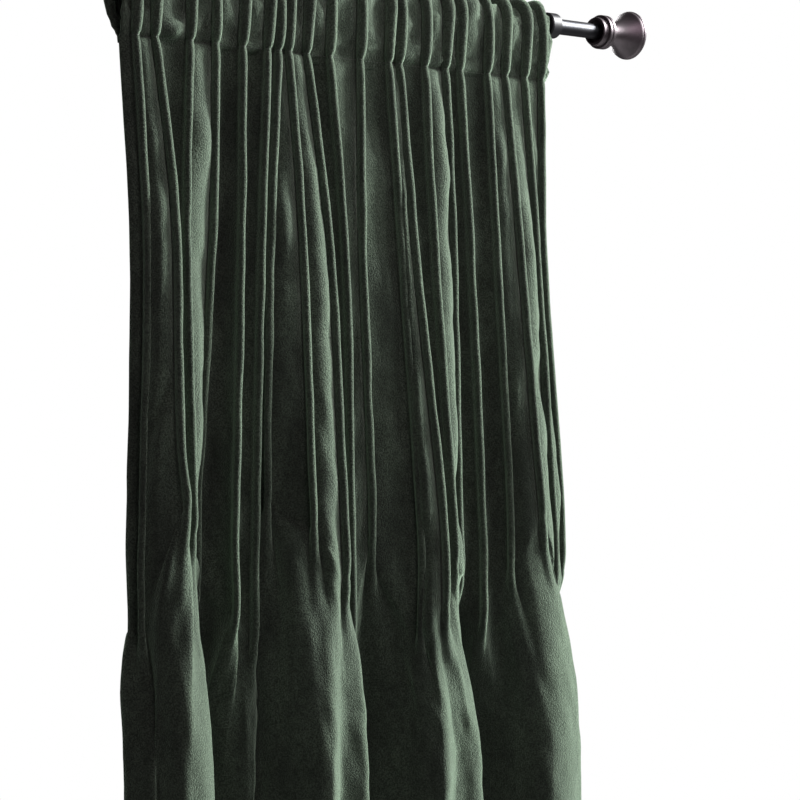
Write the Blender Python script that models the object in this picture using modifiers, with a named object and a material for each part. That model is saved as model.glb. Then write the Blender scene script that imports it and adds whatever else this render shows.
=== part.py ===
"""Velvet curtain panel with sewn tucks, hanging by its rod pocket on a plain rod.

Metres, +Z up. +X runs along the rod to the right, +Y runs into the wall. The origin is the middle of
the right-hand wall plate's back face, so the rod's axis lies at y = -ROD_REACH, z = 0.
"""
import math
from collections import namedtuple

import bmesh
import bpy
from mathutils import Vector

MM = 0.001

# Rod and fittings
ROD_RADIUS = 8 * MM
ROD_REACH = 85 * MM
ROD_SIDES = 32
FIT_GAP = 0.3 * MM
BRACKET_SPAN = 650 * MM
RING_RADIUS = 13 * MM
RING_WIDTH = 14 * MM
RING_SIDES = 32
RING_EDGE = 1 * MM
ARM_RADIUS = 6.5 * MM
ARM_SIDES = 24
ARM_OVERLAP = 2 * MM
PLATE_RADIUS = 26 * MM
PLATE_THICKNESS = 6 * MM
PLATE_SIDES = 32
PLATE_RIM = 1.5 * MM
PLATE_SHOULDER = 4 * MM
PLATE_MIDDLE = 12.5 * MM
FINIAL_START = 67 * MM
FINIAL_SOCKET = 26 * MM
FINIAL_SIDES = 28

# The finial's profile in millimetres, from the middle of its end cap down the outer side to the cup
# and back inside it. radius: off the rod's axis. along: distance from the cup's face.
Turn = namedtuple("Turn", "radius along")
END_CAP = (
    Turn(0, 54.5),
    Turn(19, 54),
    Turn(20.5, 53),
    Turn(22, 54.2),
    Turn(24.4, 54),
    Turn(25.4, 52.6),
    Turn(25.4, 49.4),
)
FLARE_TOP = Turn(24.2, 47)
FLARE_NECK = Turn(9.8, 17)
FLARE_STEPS = 6
FLARE_CURVE = 2.2
COLLAR = (
    Turn(16.6, 15.6),
    Turn(17.8, 15),
    Turn(17.8, 11.6),
    Turn(17, 11.2),
    Turn(17, 10.4),
    Turn(17.8, 10),
)
CUP = (
    Turn(17.8, 7),
    Turn(17.2, 6.4),
    Turn(14.8, 6.2),
    Turn(14.8, 0.5),
    Turn(14.3, 0),
    Turn(12.4, 0),
    Turn(12, 0.4),
    Turn(12, 5),
)

# Cloth. PANEL_SHIFT: how far right of the tables' places the cloth has been pushed on the rod.
PANEL_SHIFT = 9 * MM
CLOTH_THICKNESS = 2 * MM
TUCK_PITCH = 63.5 * MM
TUCK_DEPTH = 12 * MM
TUCK_LAYER_GAP = 3 * MM
PLAIN_CLOTH = TUCK_PITCH - 2 * TUCK_DEPTH
SIDE_MARGIN = 0.5
EDGE_MARGIN = 11 * MM
EDGE_CURL = 4 * MM
PANEL_DROP = 2120 * MM
SEAM_DROP = 59 * MM
SEAM_DEPTH = 4 * MM
BACK_LAYER_GAP = 3 * MM
HEADING_TAIL = 7 * MM
FOLD_LEVEL = 780 * MM

# Rows below the pocket: shares of the way from the seam to the tucks' ends, shares of the way from
# there to the full folds, and drops below the rod.
SEWN_SHARES = (0.02, 0.33, 0.67, 1.0)
LOOSE_SHARES = (0.08, 0.25, 0.55)
FOLD_DROPS = (FOLD_LEVEL, 1120 * MM, 1600 * MM, PANEL_DROP)

# How the cloth stands. SEAM_TUCK, SEAM_BOW: how much of a tuck's depth and of the bent cloth the
# pocket seam lets stand up. BOW_GROWTH: how soon the bend is full below it. ROOM_LIMIT, WALL_LIMIT:
# deepest bends, as shares of the gap between two tucks and of the plain cloth there. TURN_AT_END:
# how far a tuck has turned with the folds at its end. OPENING_START: how far its layers have parted
# there. OPENED_FOOT: half the width of an opened tuck. FOLD_REACH: cloth on each side of a place, in
# tucks, that gives the folds' direction there.
SEAM_TUCK = 0.6
SEAM_BOW = 0.45
BOW_GROWTH = 3
ROOM_LIMIT = 0.24
WALL_LIMIT = 0.4
TURN_AT_END = 0.8
OPENING_START = 0.2
OPENED_FOOT = 0.9 * TUCK_DEPTH
FOLD_REACH = 0.25

# The tucks from left to right, in millimetres. place: where the tuck stands along the rod, from the
# right-hand bracket. end_x, end_y: its tip where the sewing stops, end_y from the rod's axis towards
# the wall. drop: length of the sewing below the pocket seam. bow: which way the plain cloth on its
# right bends, 1 to the room and -1 to the wall.
Tuck = namedtuple("Tuck", "place end_x end_y drop bow")
TUCKS = (
    Tuck(-554, -547, -26, 535, 1),
    Tuck(-532, -519, -53, 425, -1),
    Tuck(-492, -493, -25, 450, 1),
    Tuck(-462, -466, 0, 500, -1),
    Tuck(-430, -437, -24, 525, -1),
    Tuck(-400, -410, -14, 557, -1),
    Tuck(-387, -392, -16, 425, 1),
    Tuck(-374, -360, -43, 444, 1),
    Tuck(-352, -330, -50, 496, -1),
    Tuck(-323, -310, -34, 560, -1),
    Tuck(-284, -277, -32, 470, -1),
    Tuck(-247, -241, -58, 550, 1),
    Tuck(-233, -224, -74, 525, -1),
    Tuck(-199, -197, -60, 488, 1),
    Tuck(-171, -173, -44, 500, -1),
    Tuck(-151, -144, -46, 545, -1),
    Tuck(-113, -112, -54, 495, 1),
    Tuck(-88, -84, -71, 444, 1),
    Tuck(-60, -57, -57, 520, 1),
    Tuck(-36, -31, -42, 500, 1),
)

# The turns of the large loose folds from left to right, in millimetres. at: place across the cloth,
# counted in tucks. low_x, low_y: the turn at FOLD_LEVEL. hem_x, hem_y: the same turn at the hem.
Fold = namedtuple("Fold", "at low_x low_y hem_x hem_y")
FOLDS = (
    Fold(-0.5, -566, -14, -578, -10),
    Fold(0.0, -556, -38, -568, -38),
    Fold(0.5, -546, -36, -558, -44),
    Fold(1.1, -534, -60, -540, -64),
    Fold(1.9, -493, -50, -500, -56),
    Fold(3.3, -462, 44, -466, 58),
    Fold(4.2, -440, 4, -436, 30),
    Fold(5.0, -418, -14, -424, -4),
    Fold(5.5, -408, 0, -416, -14),
    Fold(6.1, -397, -24, -404, -38),
    Fold(7.0, -362, -62, -370, -66),
    Fold(7.6, -339, -48, -344, -62),
    Fold(8.2, -310, -54, -316, -50),
    Fold(9.4, -279, 26, -286, 56),
    Fold(10.1, -253, -15, -256, 24),
    Fold(11.2, -220, -64, -228, -60),
    Fold(11.8, -191, -50, -200, -66),
    Fold(12.6, -157, -52, -164, -50),
    Fold(14.1, -132, 32, -134, 56),
    Fold(15.0, -112, -5, -108, 20),
    Fold(16.1, -79, -66, -82, -62),
    Fold(17.2, -20, -54, -24, -58),
    Fold(18.3, -4, -4, 0, 10),
    Fold(19.5, -12, 34, 8, 50),
)

# The rod pocket from the seam up the front, over the rod and down the back. y, z: the cloth's middle
# line in millimetres from the rod's axis, y towards the wall. facing: the way its face looks, in
# degrees from the room (0) over the top (90) to the wall (180). depth: how much of a tuck's depth
# stands up. puff: how much of the spare cloth between two tucks bulges out.
Ring = namedtuple("Ring", "y z facing depth puff")
POCKET = (
    Ring(-14.5, -34, 0, 1.0, 0.8),
    Ring(-13.5, -6, 8, 1.0, 0.7),
    Ring(-8.6, 8.6, 45, 1.0, 0.6),
    Ring(0, 12.2, 90, 1.0, 0.6),
    Ring(8.6, 8.6, 135, 1.0, 0.6),
    Ring(12.6, -6, 172, 1.0, 0.6),
    Ring(10.5, -34, 180, 1.0, 0.6),
)

# A column is a line down the cloth. at: its place across the cloth, counted in tucks. tuck: the tuck
# it belongs to. side: -1 left of the tuck's middle or 1 right of it. role: foot, tip, plain or edge.
# part: how far a plain column has gone from its tuck's foot to the next tuck's.
Column = namedtuple("Column", "at tuck side role part")
PLAIN_PARTS = (0.34, 0.66)

# How the tucks and the cloth between them stand in one row. points, runs: the tucks' bases and the
# cloth's direction there. height: how much of a tuck's depth stands up. opened: how far its two
# layers have parted, from 0 to 1. bow: how much of the spare cloth bends. puffed: whether it always
# bends outwards, as on the pocket.
Stand = namedtuple("Stand", "points runs height opened bow puffed")


def clear_scene():
    """Take every object of the open file away."""
    for old in list(bpy.data.objects):
        bpy.data.objects.remove(old, do_unlink=True)


def new_collection(name):
    """Add a collection to the scene."""
    collection = bpy.data.collections.new(name)
    bpy.context.scene.collection.children.link(collection)
    return collection


def material(name, colour, roughness, metallic=0.0):
    """Make a plain Principled material."""
    made = bpy.data.materials.new(name)
    made.use_nodes = True
    shader = made.node_tree.nodes["Principled BSDF"]
    shader.inputs["Base Color"].default_value = (*colour, 1.0)
    shader.inputs["Roughness"].default_value = roughness
    shader.inputs["Metallic"].default_value = metallic
    return made


def add_object(name, mesh, collection, finish=None):
    """Link a mesh to a collection as a named object."""
    made = bpy.data.objects.new(name, mesh)
    collection.objects.link(made)
    if finish:
        mesh.materials.append(finish)
    return made


def cylinder_mesh(name, radius, length, sides):
    """Return a capped cylinder along Z, centred on its origin."""
    mesh = bpy.data.meshes.new(name)
    shape = bmesh.new()
    bmesh.ops.create_cone(
        shape, cap_ends=True, segments=sides, radius1=radius, radius2=radius, depth=length
    )
    shape.to_mesh(mesh)
    shape.free()
    return mesh


def smooth(thing, angle=35):
    """Shade a round piece smooth but for its sharp edges."""
    thing.data.shade_smooth()
    thing.data.set_sharp_from_angle(angle=math.radians(angle))


def mixed(first, last, share):
    """Return the value that lies a share of the way from first to last."""
    return first + (last - first) * share


def through(places, values, at):
    """Return a smooth curve's value at a place, through values given at rising places."""
    last = len(places) - 1
    at = min(max(at, places[0]), places[-1])
    low = max(i for i in range(last) if places[i] <= at)

    def slope(i):
        before = max(i - 1, 0)
        after = min(i + 1, last)
        return (values[after] - values[before]) / (places[after] - places[before])

    span = places[low + 1] - places[low]
    t = (at - places[low]) / span
    start = (1 + 2 * t) * (1 - t) ** 2 * values[low] + t * (1 - t) ** 2 * span * slope(low)
    end = t * t * (3 - 2 * t) * values[low + 1] + t * t * (t - 1) * span * slope(low + 1)
    return start + end


def fold_point(at, level):
    """Return x and y of the loose folds at a place across the cloth: level 0 is low, 1 the hem."""
    places = [fold.at for fold in FOLDS]
    x = through(places, [mixed(fold.low_x, fold.hem_x, level) for fold in FOLDS], at)
    y = through(places, [mixed(fold.low_y, fold.hem_y, level) for fold in FOLDS], at)
    return x * MM, y * MM


def fold_heading(at):
    """Return the direction in which the loose folds run at a place across the cloth."""
    x1, y1 = fold_point(at - FOLD_REACH, 0.0)
    x2, y2 = fold_point(at + FOLD_REACH, 0.0)
    return Vector((x2 - x1, y2 - y1)).normalized()


def bases(share):
    """List the points where the tucks rise, at a share of the way from the seam to their ends."""
    points = []
    for tuck in TUCKS:
        y_end = tuck.end_y * MM + TUCK_DEPTH
        x = mixed(tuck.place, tuck.end_x, share) * MM
        points.append(Vector((x, mixed(-SEAM_DEPTH, y_end, share))))
    return points


def headings(points, turned):
    """List the directions in which the cloth runs at the tucks, turned partly (0 to 1) off the rod's."""
    last = len(points) - 1
    along_rod = Vector((1.0, 0.0))
    listed = []
    for i in range(len(points)):
        run = (points[min(i + 1, last)] - points[max(i - 1, 0)]).normalized()
        listed.append(along_rod.lerp(run, turned).normalized())
    return listed


def to_room(heading):
    """Return the direction square to a heading, to the room's side."""
    return Vector((heading.y, -heading.x))


def bow_height(chord, bow):
    """Return how far the plain cloth between two tucks bends to the room, or less than 0 for the wall.

    The height is a flat parabola's that is as long as the cloth. Close tucks would pinch a deep bend,
    so it stays shallow between them.
    """
    spare = max(PLAIN_CLOTH - chord, 0.0)
    limit = ROOM_LIMIT * chord if bow > 0 else min(WALL_LIMIT * PLAIN_CLOTH, chord)
    return bow * min(math.sqrt(3 / 8 * chord * spare), limit)


def cloth_columns():
    """List the cloth's columns from its left edge to its right edge."""
    half = TUCK_DEPTH / TUCK_PITCH
    tip = TUCK_LAYER_GAP / 2 / TUCK_PITCH
    last = len(TUCKS) - 1
    columns = [Column(-SIDE_MARGIN, 0, -1, "edge", 0)]
    for number in range(len(TUCKS)):
        columns.append(Column(number - half, number, -1, "foot", 0))
        columns.append(Column(number - tip, number, -1, "tip", 0))
        columns.append(Column(number + tip, number, 1, "tip", 0))
        columns.append(Column(number + half, number, 1, "foot", 0))
        if number < last:
            for part in PLAIN_PARTS:
                at = mixed(number + half, number + 1 - half, part)
                columns.append(Column(at, number, 1, "plain", part))
    columns.append(Column(last + SIDE_MARGIN, last, 1, "edge", 0))
    return columns


def off_line(column, stand):
    """Return a column's point on the line of the tucks' bases, the way out, and the height off it."""
    point = stand.points[column.tuck]
    run = stand.runs[column.tuck]
    half_gap = TUCK_LAYER_GAP / 2
    parted = mixed(half_gap, OPENED_FOOT, stand.opened)
    if column.role == "foot":
        return point + run * column.side * parted, to_room(run), 0.0
    if column.role == "tip":
        rise = TUCK_DEPTH * stand.height * math.sqrt(1 - stand.opened**2)
        return point + run * column.side * half_gap, to_room(run), rise
    if column.role == "edge":
        turned_back = 0.0 if stand.puffed else EDGE_CURL * stand.bow
        return point + run * column.side * (parted + EDGE_MARGIN), to_room(run), -turned_back
    start = point + run * parted
    end = stand.points[column.tuck + 1] - stand.runs[column.tuck + 1] * parted
    chord = end - start
    arch = 4 * column.part * (1 - column.part)
    bow = 1 if stand.puffed else TUCKS[column.tuck].bow
    height = bow_height(chord.length, bow) * arch * stand.bow
    return start.lerp(end, column.part), to_room(chord.normalized()), height


def pocket_row(columns, ring):
    """Return a row of points on the rod pocket."""
    facing = math.radians(ring.facing)
    points = bases(0.0)
    stand = Stand(points, headings(points, 0.0), ring.depth, 0.0, ring.puff, True)
    row = []
    for column in columns:
        point, _, height = off_line(column, stand)
        y = ring.y * MM - math.cos(facing) * height
        z = ring.z * MM + math.sin(facing) * height
        row.append((point.x, y, z))
    return row


def seam_row(columns, z, back):
    """Return a row along the pocket seam, on the front layer or on the back one."""
    points = bases(0.0)
    stand = Stand(points, headings(points, 0.0), SEAM_TUCK, 0.0, SEAM_BOW, False)
    row = []
    for column in columns:
        point, out, height = off_line(column, stand)
        if back and column.role == "tip":
            height = -height
        place = point + out * height
        row.append((place.x, place.y + (BACK_LAYER_GAP if back else 0.0), z))
    return row


def sewn_drop(column):
    """Return how far below the seam the sewing ends at a column."""
    drop = TUCKS[column.tuck].drop
    if column.role == "plain":
        drop = mixed(drop, TUCKS[column.tuck + 1].drop, column.part)
    return drop * MM


def sewn_row(columns, share):
    """Return a row down the sewn part, at a share of the way from the seam to the tucks' ends."""
    points = bases(share)
    bow = min(1.0, SEAM_BOW + BOW_GROWTH * (share - SEWN_SHARES[0]))
    stand = Stand(points, headings(points, TURN_AT_END * share), 1.0, 0.0, bow, False)
    row = []
    for column in columns:
        point, out, height = off_line(column, stand)
        place = point + out * height
        row.append((place.x, place.y, -SEAM_DROP - share * sewn_drop(column)))
    return row


def loose_row(columns, share):
    """Return a row of the opening tucks, from their ends (0) to the full folds (1)."""
    ends = bases(1.0)
    end_runs = headings(ends, TURN_AT_END)
    points = []
    runs = []
    for number, (end, end_run) in enumerate(zip(ends, end_runs)):
        points.append(end.lerp(Vector(fold_point(number, 0.0)), share))
        runs.append(end_run.lerp(fold_heading(number), share).normalized())
    opened = min(1.0, OPENING_START + share)
    stand = Stand(points, runs, 1.0, opened, 1 - share, False)
    row = []
    for column in columns:
        point, out, height = off_line(column, stand)
        place = (point + out * height).lerp(Vector(fold_point(column.at, 0.0)), share**2)
        z = mixed(-SEAM_DROP - sewn_drop(column), -FOLD_LEVEL, share)
        row.append((place.x, place.y, z))
    return row


def fold_row(columns, drop):
    """Return a row of the full folds at a drop below the rod."""
    level = (drop - FOLD_LEVEL) / (PANEL_DROP - FOLD_LEVEL)
    return [(*fold_point(column.at, level), -drop) for column in columns]


def cloth_rows(columns):
    """List the cloth's rows from the back of the pocket, over the rod, to the hem."""
    rows = [
        seam_row(columns, -SEAM_DROP - HEADING_TAIL, True),
        seam_row(columns, -SEAM_DROP, True),
    ]
    rows += [pocket_row(columns, ring) for ring in reversed(POCKET)]
    rows.append(seam_row(columns, -SEAM_DROP, False))
    rows += [sewn_row(columns, share) for share in SEWN_SHARES]
    rows += [loose_row(columns, share) for share in LOOSE_SHARES]
    rows += [fold_row(columns, drop) for drop in FOLD_DROPS]
    return rows


def cloth_triangles(columns, rows):
    """Split the net of rows and columns into triangles.

    The two layers of a tuck are split alike, so that they stay parallel where it twists. Elsewhere
    the shorter diagonal is used.
    """
    width = len(columns)
    points = [Vector(point) for row in rows for point in row]
    triangles = []
    for r in range(len(rows) - 1):
        for c in range(width - 1):
            up_left = r * width + c
            up_right = up_left + 1
            low_left = up_left + width
            low_right = low_left + 1
            roles = (columns[c].role, columns[c + 1].role)
            from_left = (points[up_left] - points[low_right]).length
            from_right = (points[up_right] - points[low_left]).length
            if roles == ("foot", "tip") or (roles != ("tip", "foot") and from_left < from_right):
                triangles += [(up_left, low_left, low_right), (up_left, low_right, up_right)]
            else:
                triangles += [(up_left, low_left, up_right), (up_right, low_left, low_right)]
    return points, triangles


def curtain_panel(collection, velvet):
    """Make the cloth as one sheet through the points of its rows and columns."""
    columns = cloth_columns()
    points, triangles = cloth_triangles(columns, cloth_rows(columns))
    to_rod_axis = Vector((PANEL_SHIFT, -ROD_REACH, 0.0))
    mesh = bpy.data.meshes.new("curtain_panel")
    mesh.from_pydata([point + to_rod_axis for point in points], [], triangles)
    panel = add_object("curtain_panel", mesh, collection, velvet)
    wall = panel.modifiers.new("thickness", "SOLIDIFY")
    wall.thickness = CLOTH_THICKNESS
    wall.offset = 0.0
    smooth(panel, 60)
    return panel


def curtain_rod(collection, metal):
    """Make the rod, which ends inside the two finials."""
    length = BRACKET_SPAN + 2 * (FINIAL_START + FINIAL_SOCKET - FIT_GAP)
    mesh = cylinder_mesh("curtain_rod", ROD_RADIUS, length, ROD_SIDES)
    rod = add_object("curtain_rod", mesh, collection, metal)
    rod.location = (-BRACKET_SPAN / 2, -ROD_REACH, 0)
    rod.rotation_euler = (0, math.radians(90), 0)
    smooth(rod)
    return rod


def finial_profile():
    """List radius and distance from the cup's face along the finial's outline.

    The last points run back inside, down the socket that takes the rod.
    """
    profile = [(turn.radius * MM, turn.along * MM) for turn in END_CAP]
    for step in range(FLARE_STEPS + 1):
        share = 1 - step / FLARE_STEPS
        radius = mixed(FLARE_NECK.radius, FLARE_TOP.radius, share**FLARE_CURVE)
        profile.append((radius * MM, mixed(FLARE_NECK.along, FLARE_TOP.along, share) * MM))
    profile += [(turn.radius * MM, turn.along * MM) for turn in COLLAR + CUP]
    bore = ROD_RADIUS + FIT_GAP
    profile += [(bore, CUP[-1].along * MM), (bore, FINIAL_SOCKET), (0, FINIAL_SOCKET)]
    return profile


def turned_mesh(name, profile, sides):
    """Return a shape turned about Z from a profile at +X, as a mesh."""
    outline = bpy.data.meshes.new(name + "_outline")
    points = [(radius, 0, along) for radius, along in profile]
    outline.from_pydata(points, [(i, i + 1) for i in range(len(points) - 1)], [])
    holder = bpy.data.objects.new(name + "_outline", outline)
    bpy.context.scene.collection.objects.link(holder)
    turn = holder.modifiers.new("turn", "SCREW")
    turn.steps = sides
    turn.render_steps = sides
    turn.use_merge_vertices = True
    turn.merge_threshold = 0.01 * MM
    turn.use_normal_calculate = False
    graph = bpy.context.evaluated_depsgraph_get()
    mesh = bpy.data.meshes.new_from_object(holder.evaluated_get(graph))
    bpy.data.objects.remove(holder, do_unlink=True)
    mesh.name = name
    return mesh


def finials(collection, metal):
    """Make the two trumpet finials, each over one end of the rod."""
    mesh = turned_mesh("finial", finial_profile(), FINIAL_SIDES)
    for name, x, turn in (
        ("finial_right", FINIAL_START, 90),
        ("finial_left", -BRACKET_SPAN - FINIAL_START, -90),
    ):
        finial = add_object(name, mesh.copy(), collection, metal)
        finial.location = (x, -ROD_REACH, 0)
        finial.rotation_euler = (0, math.radians(turn), 0)
        smooth(finial)


def boolean(target, tool, operation):
    """Join a tool to a target or cut it away."""
    change = target.modifiers.new(operation.lower(), "BOOLEAN")
    change.object = tool
    change.operation = operation
    change.solver = "EXACT"


def guide(name, mesh, collection, location, rotation):
    """Add a shape that only joins to or cuts another."""
    shape = add_object(name, mesh, collection)
    shape.location = location
    shape.rotation_euler = rotation
    shape.hide_render = True
    shape.display_type = "WIRE"
    return shape


def rod_rings(collection, cutters, metal):
    """Make the two bracket arms: an eye round the rod and a round post back to the wall plate."""
    along_x = (0, math.radians(90), 0)
    along_y = (math.radians(90), 0, 0)
    post_start = -ROD_REACH + RING_RADIUS - ARM_OVERLAP
    post_end = -PLATE_THICKNESS - FIT_GAP
    for name, x in (("rod_ring_right", 0.0), ("rod_ring_left", -BRACKET_SPAN)):
        ring = add_object(
            name, cylinder_mesh(name, RING_RADIUS, RING_WIDTH, RING_SIDES), collection, metal
        )
        ring.location = (x, -ROD_REACH, 0)
        ring.rotation_euler = along_x
        bevel = ring.modifiers.new("edge", "BEVEL")
        bevel.width = RING_EDGE
        bevel.segments = 1
        bevel.limit_method = "ANGLE"
        post = guide(
            name + "_post",
            cylinder_mesh(name + "_post", ARM_RADIUS, post_end - post_start, ARM_SIDES),
            cutters,
            (x, (post_start + post_end) / 2, 0),
            along_y,
        )
        bore = guide(
            name + "_bore",
            cylinder_mesh(name + "_bore", ROD_RADIUS + FIT_GAP, RING_WIDTH * 2, ROD_SIDES),
            cutters,
            (x, -ROD_REACH, 0),
            along_x,
        )
        boolean(ring, post, "UNION")
        boolean(ring, bore, "DIFFERENCE")
        smooth(ring)


def wall_plates(collection, metal):
    """Make the two round plates, flat against the wall."""
    profile = [
        (0, PLATE_THICKNESS),
        (PLATE_MIDDLE, PLATE_THICKNESS),
        (PLATE_RADIUS - PLATE_SHOULDER, PLATE_THICKNESS - PLATE_RIM),
        (PLATE_RADIUS, PLATE_RIM),
        (PLATE_RADIUS, 0),
        (0, 0),
    ]
    mesh = turned_mesh("wall_plate", profile, PLATE_SIDES)
    for name, x in (("wall_plate_right", 0.0), ("wall_plate_left", -BRACKET_SPAN)):
        plate = add_object(name, mesh.copy(), collection, metal)
        plate.location = (x, 0, 0)
        plate.rotation_euler = (math.radians(90), 0, 0)
        smooth(plate)


def main():
    """Build the curtain, its rod and its fittings."""
    clear_scene()
    collection = new_collection("velvet_curtain_on_rod")
    cutters = new_collection("cutters")
    velvet = material("green_velvet", (0.022, 0.05, 0.027), 0.9)
    black_metal = material("black_metal", (0.012, 0.011, 0.012), 0.28, 0.9)
    curtain_panel(collection, velvet)
    curtain_rod(collection, black_metal)
    rod_rings(collection, cutters, black_metal)
    wall_plates(collection, black_metal)
    finials(collection, black_metal)


main()
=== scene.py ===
"""Looks of a velvet curtain panel with sewn tucks, hanging by its rod pocket on a steel rod.

Metres, +Z up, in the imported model's frame: +X runs along the rod to the right, +Y runs into the
wall, and the origin is the middle of the right-hand wall plate's back face.
"""

import math
from collections import namedtuple

import bmesh
import bpy
import numpy as np
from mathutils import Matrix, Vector

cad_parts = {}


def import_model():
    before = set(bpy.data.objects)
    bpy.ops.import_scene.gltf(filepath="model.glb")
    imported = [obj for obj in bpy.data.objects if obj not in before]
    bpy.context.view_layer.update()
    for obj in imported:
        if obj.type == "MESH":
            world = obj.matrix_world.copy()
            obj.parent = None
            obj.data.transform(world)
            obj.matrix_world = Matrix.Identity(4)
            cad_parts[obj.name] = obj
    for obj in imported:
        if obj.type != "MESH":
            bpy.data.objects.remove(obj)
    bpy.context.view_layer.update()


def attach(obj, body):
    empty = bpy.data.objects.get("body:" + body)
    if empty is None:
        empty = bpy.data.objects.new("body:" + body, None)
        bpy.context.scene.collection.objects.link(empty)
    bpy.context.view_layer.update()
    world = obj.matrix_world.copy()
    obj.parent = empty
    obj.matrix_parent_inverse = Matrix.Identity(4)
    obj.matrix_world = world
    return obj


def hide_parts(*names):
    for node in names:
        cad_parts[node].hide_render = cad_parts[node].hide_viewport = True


MM = 0.001
TINY = 1e-9

# Uneven reliefs: their first seed, the range of their waves' sizes, and how the waves sway
SEED = 11
WAVE_SIZES = (0.6, 1.5)
WAVE_SWAY = 0.35
SWAY_RATE = 2.1

# Rod and fittings
ROD_RADIUS = 8 * MM
ROD_REACH = 85 * MM
ROD_SPAN = 650 * MM
FIT_GAP = 0.3 * MM
FINIAL_START = 67 * MM
FINIAL_SOCKET = 26 * MM
RING_RADIUS = 13 * MM
RING_WIDTH = 14 * MM
RING_EDGE = 1.2 * MM
ARM_RADIUS = 6.5 * MM
PLATE_THICKNESS = 6 * MM
ARM_OVERLAP = 2 * MM
TURNED_SIDES = 96

# Outlines of the turned pieces in millimetres. radius: off the axis. along: distance along it, from
# the cup's face on the finial and from the wall on the plate.
Turn = namedtuple("Turn", "radius along")
FINIAL_CAP = (
    Turn(0, 54.5),
    Turn(19, 54),
    Turn(20.5, 53),
    Turn(22, 54.2),
    Turn(24.4, 54),
    Turn(25.4, 52.6),
    Turn(25.4, 50.6),
    Turn(24.7, 50),
    Turn(24.7, 49.2),
)
FLARE_TOP = Turn(24.2, 47.6)
FLARE_NECK = Turn(9.8, 17)
FLARE_STEPS = 18
FLARE_CURVE = 2.2
COLLAR = (
    Turn(16.6, 15.6),
    Turn(17.8, 15),
    Turn(17.8, 11.6),
    Turn(17, 11.2),
    Turn(17, 10.4),
    Turn(17.8, 10),
)
CUP = (
    Turn(17.8, 7),
    Turn(17.2, 6.4),
    Turn(14.8, 6.2),
    Turn(14.8, 0.5),
    Turn(14.3, 0),
    Turn(12.4, 0),
    Turn(12, 0.4),
    Turn(12, 5),
)
PLATE = (
    Turn(0, 6),
    Turn(12.5, 6),
    Turn(15, 5.2),
    Turn(22, 4.4),
    Turn(26, 1.5),
    Turn(26, 0),
    Turn(0, 0),
)

# Rounding of the turned pieces' corners, in millimetres: on the finials, and on the rod and plates.
# A corner takes at most CORNER_SHARE of the sides next to it.
FINIAL_CORNER = 0.5
BLUNT_CORNER = 0.8
CORNER_SHARE = 0.45

# Edges that turn by more than this are shaded sharp
ROD_SHARP = math.radians(40)
TURNED_SHARP = math.radians(50)
ARM_SHARP = math.radians(35)

# Cloth. PANEL_SHIFT: how far right of the tables' places the cloth has been pushed on the rod.
# SIDE_MARGIN: cloth beyond the outer tucks, counted in tucks. EDGE_MARGIN, EDGE_CURL: how far its
# edge lies from the tuck, to the side and towards the wall.
PANEL_SHIFT = 9 * MM
CLOTH_THICKNESS = 1.3 * MM
HEM_THICKNESS = 2.4 * MM
TUCK_PITCH = 63.5 * MM
TUCK_DEPTH = 12 * MM
PLAIN_CLOTH = TUCK_PITCH - 2 * TUCK_DEPTH
SIDE_MARGIN = 0.5
EDGE_MARGIN = 11 * MM
EDGE_CURL = 4 * MM
PANEL_DROP = 2120 * MM
SEAM_DROP = 59 * MM
SEAM_DEPTH = 8.5 * MM
HEADING_TAIL = 7 * MM
FOLD_LEVEL = 780 * MM
HEM_DEPTH = 90 * MM

# A tuck's outline. NOSE_RADIUS: half the width of its rounded tip. FOOT_HALF: half the gap that the
# sewing leaves between the layers' middles. OPENED_HALF: half its width once it has opened.
# RISE_LEAD: how many times faster its height changes than its width when it opens.
NOSE_RADIUS = 2.8 * MM
FOOT_HALF = 0.95 * MM
OPENED_HALF = 10.8 * MM
RISE_LEAD = 2

# Deepest bends of the plain cloth, as shares of the gap between two tucks and of the cloth there.
# SEAM_BOW: how much of the bend the pocket seam lets stand. BOW_GROWTH: how fast it grows below.
# TURN_AT_END: how far a tuck has turned with the folds where its sewing stops. FOLD_REACH: cloth on
# each side of a place, in tucks, that gives the folds' direction there.
ROOM_LIMIT = 0.28
WALL_LIMIT = 0.4
SEAM_BOW = 0.45
BOW_GROWTH = 3
TURN_AT_END = 0.8
FOLD_REACH = 0.25

# The rod pocket. RING_STEP: a usual distance between its rings, in millimetres. POCKET_LEAN slants
# the tucks and POCKET_UNEVEN varies the bends between them, to no less than POCKET_HOLLOW, in waves
# of the given lengths. POCKET_NOSE: half the width of a tuck's tip where it has parted by
# POCKET_OPENED. POCKET_PARTING: how much of a ring's parting shows. POCKET_BORE: how near the rod's
# axis the cloth's middle may come.
RING_STEP = 12
POCKET_LEAN = 0.2
POCKET_LEAN_WAVE = 60 * MM
POCKET_UNEVEN = 0.4
POCKET_BEND_WAVE = 50 * MM
POCKET_HOLLOW = -0.15
POCKET_NOSE = 4.5 * MM
POCKET_OPENED = 0.48
POCKET_PARTING = 0.45
POCKET_BORE = ROD_RADIUS + 1.8 * MM

# The sewn tucks. SEWN_LENGTH: a usual length of their sewing, in millimetres. SEAM_TUCK: share of a
# tuck's depth left at the pocket seam, full again SEAM_PINCH away. END_PINCH: share lost where the
# sewing stops, from END_START of its length over END_LENGTH of it. TUCK_LEAN slants the tucks and
# BEND_UNEVEN varies the bends, in waves of the given lengths. TUCK_STRIDE: how far apart two
# neighbours lie in these waves.
SEWN_LENGTH = 500
SEAM_TUCK = 0.86
SEAM_PINCH = 16 * MM
END_PINCH = 0.25
END_START = 0.97
END_LENGTH = 0.03
TUCK_LEAN = 0.05
LEAN_WAVE = 110 * MM
BEND_UNEVEN = 0.3
BEND_WAVE = 130 * MM
TUCK_STRIDE = 7.3

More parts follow.
